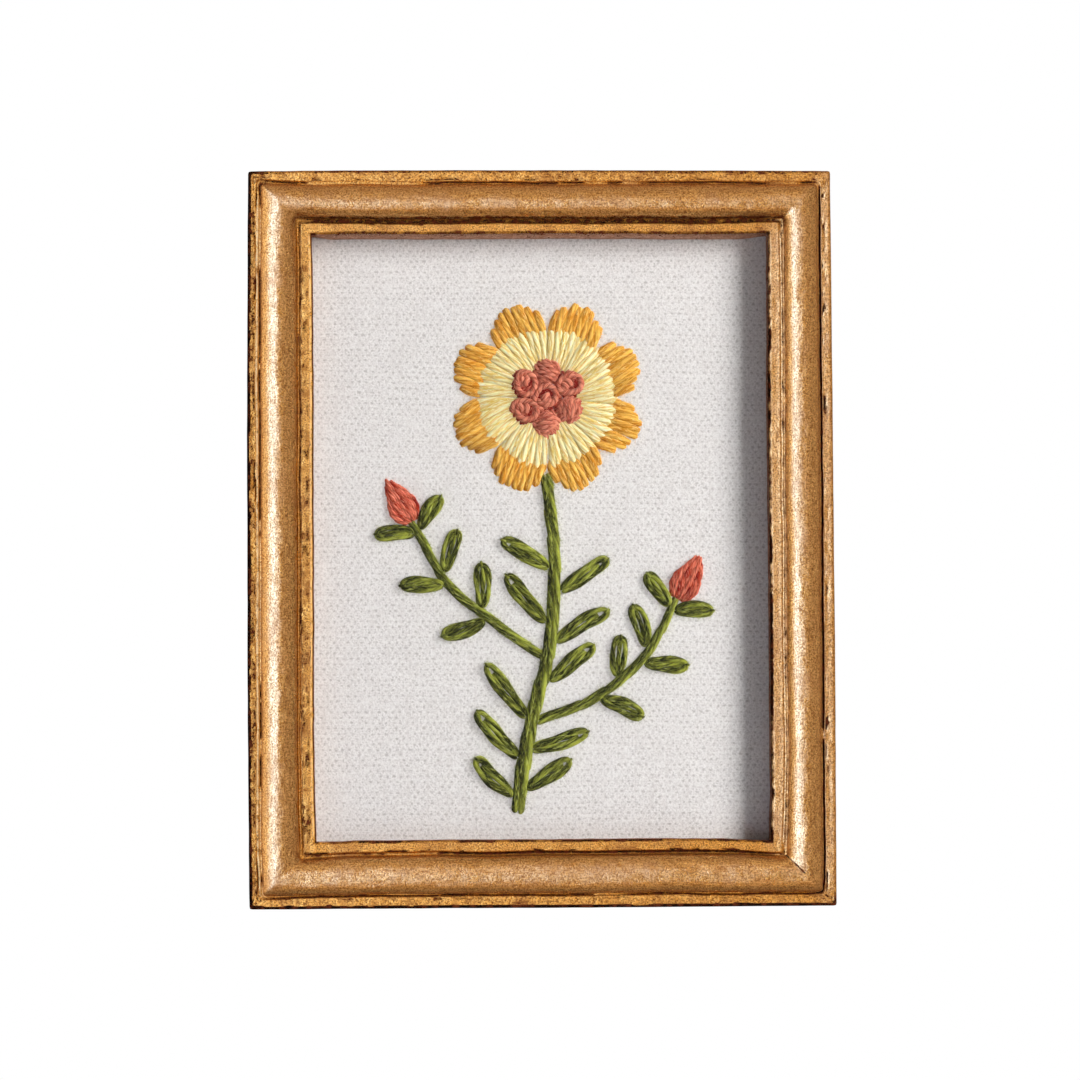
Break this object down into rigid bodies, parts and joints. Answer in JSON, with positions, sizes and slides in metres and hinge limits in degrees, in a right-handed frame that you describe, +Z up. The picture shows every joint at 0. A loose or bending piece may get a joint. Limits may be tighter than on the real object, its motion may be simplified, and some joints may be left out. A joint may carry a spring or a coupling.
{
  "type": "framed embroidery, a stitched linen panel in its wooden frame",
  "caption": "Linen panel worked in wool with an upright flower sprig, stretched in a mitred, beaded, gilded wooden frame that hangs on a wall.",
  "frame": {"origin": "middle of the top rail's rear face, where a wall meets it", "axes": "+Y into the wall, so the picture faces -Y; +Z up; +X to the right of someone who looks at the picture"},
  "size_m": [0.127, 0.0182, 0.16],
  "materials": {
    "gilt": "antiqued gilding over a dark ground, satin, rubbed on the bead, dark in the grooves, near-black outer sides",
    "linen": "natural off-white plain-weave linen, matte",
    "board": "plain brown hardboard",
    "pale_yarn": "pale yellow two-ply wool",
    "gold_yarn": "gold two-ply wool",
    "coral_yarn": "coral wool with dark red strands",
    "green_yarn": "marled wool, dark olive with light yellow-green strands"
  },
  "bodies": {
    "root": {"rail_top": "gilt", "rail_bottom": "gilt", "rail_left": "gilt", "rail_right": "gilt", "linen_panel": "linen", "backing_board": "board", "stem_main": "green_yarn", "stalk_left": "green_yarn", "stalk_right": "green_yarn", "leaf_01": "green_yarn", "leaf_02": "green_yarn", "leaf_03": "green_yarn", "leaf_04": "green_yarn", "leaf_05": "green_yarn", "leaf_06": "green_yarn", "leaf_07": "green_yarn", "leaf_08": "green_yarn", "leaf_09": "green_yarn", "leaf_10": "green_yarn", "leaf_11": "green_yarn", "leaf_12": "green_yarn", "leaf_13": "green_yarn", "leaf_14": "green_yarn", "leaf_15": "green_yarn", "leaf_16": "green_yarn", "leaf_17": "green_yarn", "leaf_18": "green_yarn", "leaf_19": "green_yarn", "leaf_20": "green_yarn", "leaf_21": "green_yarn", "leaf_22": "green_yarn", "petal_1_pale": "pale_yarn", "petal_1_gold": "gold_yarn", "petal_2_pale": "pale_yarn", "petal_2_gold": "gold_yarn", "petal_3_pale": "pale_yarn", "petal_3_gold": "gold_yarn", "petal_4_pale": "pale_yarn", "petal_4_gold": "gold_yarn", "petal_5_pale": "pale_yarn", "petal_5_gold": "gold_yarn", "petal_6_pale": "pale_yarn", "petal_6_gold": "gold_yarn", "petal_7_pale": "pale_yarn", "petal_7_gold": "gold_yarn", "petal_8_pale": "pale_yarn", "petal_8_gold": "gold_yarn", "knot_0": "coral_yarn", "knot_1": "coral_yarn", "knot_2": "coral_yarn", "knot_3": "coral_yarn", "knot_4": "coral_yarn", "knot_5": "coral_yarn", "knot_6": "coral_yarn", "bud_left": "coral_yarn", "bud_right": "coral_yarn"}
  },
  "joints": []
}
